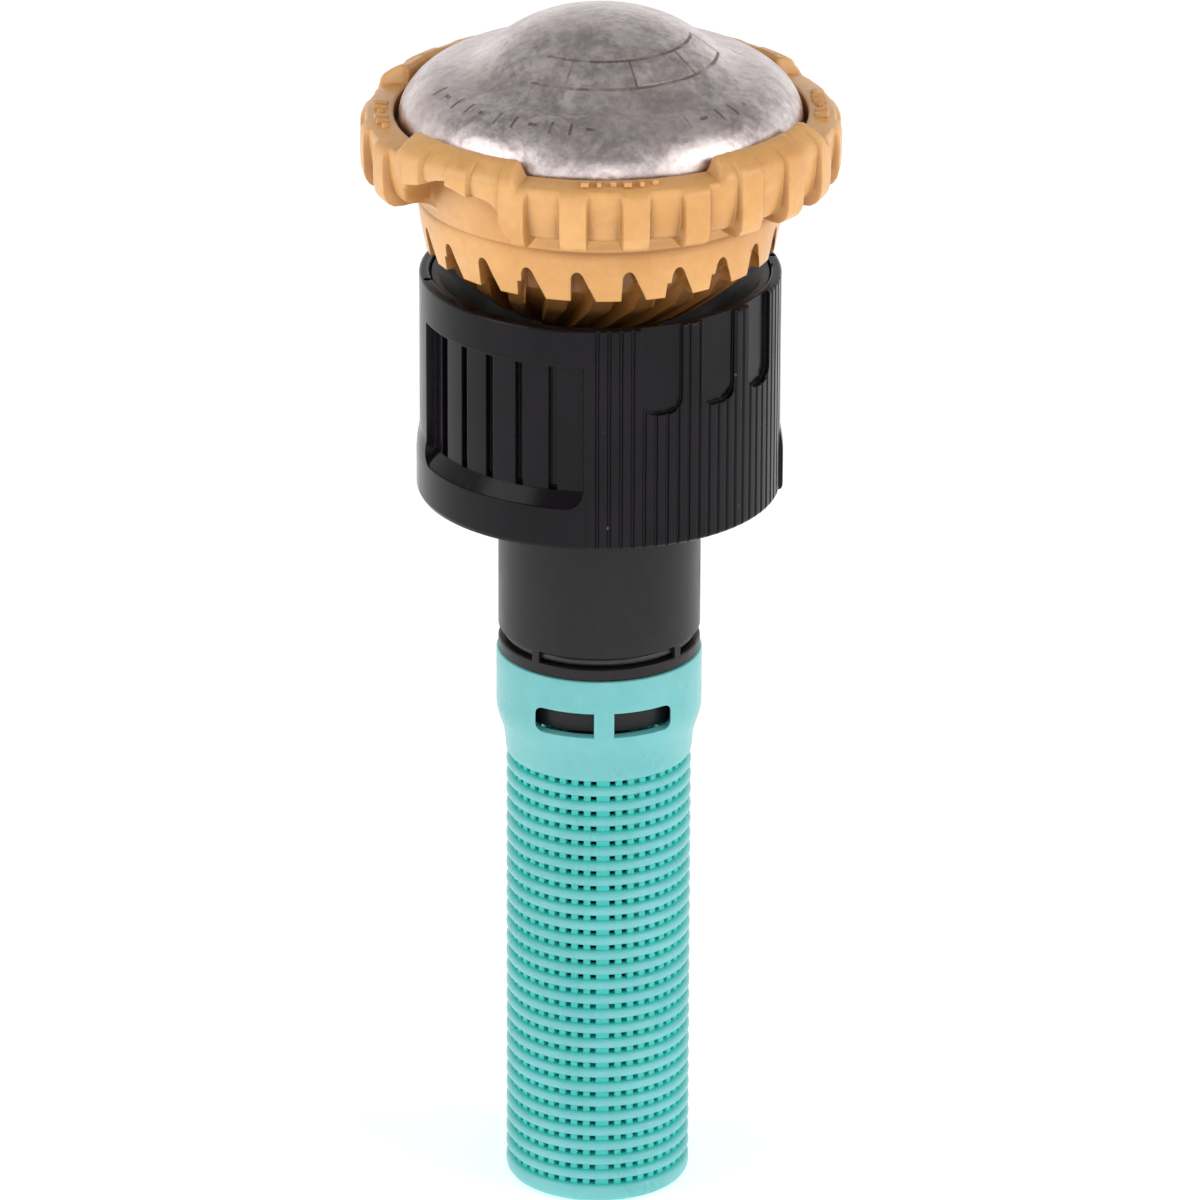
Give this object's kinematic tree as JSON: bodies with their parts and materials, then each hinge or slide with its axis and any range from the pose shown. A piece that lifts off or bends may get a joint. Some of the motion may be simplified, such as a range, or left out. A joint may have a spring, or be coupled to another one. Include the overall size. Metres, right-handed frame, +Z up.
{
  "type": "rotary sprinkler nozzle",
  "caption": "Rotary stream nozzle with a domed steel cap, ribbed deflector ring, radius collar and push-on filter screen, for a pop-up sprinkler riser.",
  "frame": {"origin": "on the nozzle's axis, in the plane of the radius collar's lower edge, where the riser enters", "axes": "+Z up along the nozzle's axis toward the cap, -Y toward the side with the seam of the filter screen"},
  "size_m": [0.0334, 0.0334, 0.0875],
  "materials": {
    "cap_steel": "satin",
    "tan_plastic": "satin",
    "collar_plastic": "gloss",
    "black_plastic": "satin",
    "teal_plastic": "satin",
    "white_plastic": "satin",
    "spring_steel": "satin",
    "seal_rubber": "matte"
  },
  "bodies": {
    "base": {"nozzle_base": "black_plastic", "hub_post": "black_plastic", "nozzle_cover": "black_plastic", "valve_seat": "black_plastic", "valve_seal": "seal_rubber", "riser_gasket": "seal_rubber", "collar_lower_seal": "seal_rubber", "collar_upper_seal": "seal_rubber", "inlet_seal": "seal_rubber", "filter_screen": "teal_plastic", "return_spring": "spring_steel", "lift_spring": "spring_steel"},
    "collar": {"radius_collar": "collar_plastic"},
    "throttle": {"throttle_nut": "white_plastic"},
    "valve": {"valve_sleeve": "tan_plastic"},
    "stem": {"shaft": "spring_steel", "brake_plate": "white_plastic", "shaft_clip": "spring_steel", "thrust_washer": "white_plastic", "spring_washer": "spring_steel", "lower_clip": "spring_steel"},
    "rotor": {"deflector": "tan_plastic", "top_cap": "cap_steel", "lip_seal": "seal_rubber", "brake_disk": "white_plastic", "brake_cover": "white_plastic", "retainer_ring": "white_plastic"}
  },
  "joints": [
    {"name": "radius_adjust", "type": "hinge", "parent": "base", "child": "collar", "pos_m": [0, 0, 0], "axis": [0, 0, 1], "range_deg": [-150, 150]},
    {"name": "throttle_travel", "type": "slide", "parent": "collar", "child": "throttle", "axis": [0, 0, 1], "range_m": [-0.00151, 0.00151]},
    {"name": "arc_adjust", "type": "hinge", "parent": "base", "child": "valve", "pos_m": [0, 0, 0], "axis": [0, 0, 1], "range_deg": [-135, 90]},
    {"name": "stem_slide", "type": "slide", "parent": "base", "child": "stem", "axis": [0, 0, 1], "range_m": [-0.00095, 0.004], "stiffness_N_per_m": 400, "deforming": ["return_spring", "lift_spring"]},
    {"name": "deflector_spin", "type": "hinge", "parent": "stem", "child": "rotor", "pos_m": [0, 0, 0], "axis": [0, 0, 1], "continuous": true}
  ],
  "couplings": [
    {"joint": "throttle_travel", "follows": "radius_adjust", "m_per_rad": 0.00057296}
  ]
}
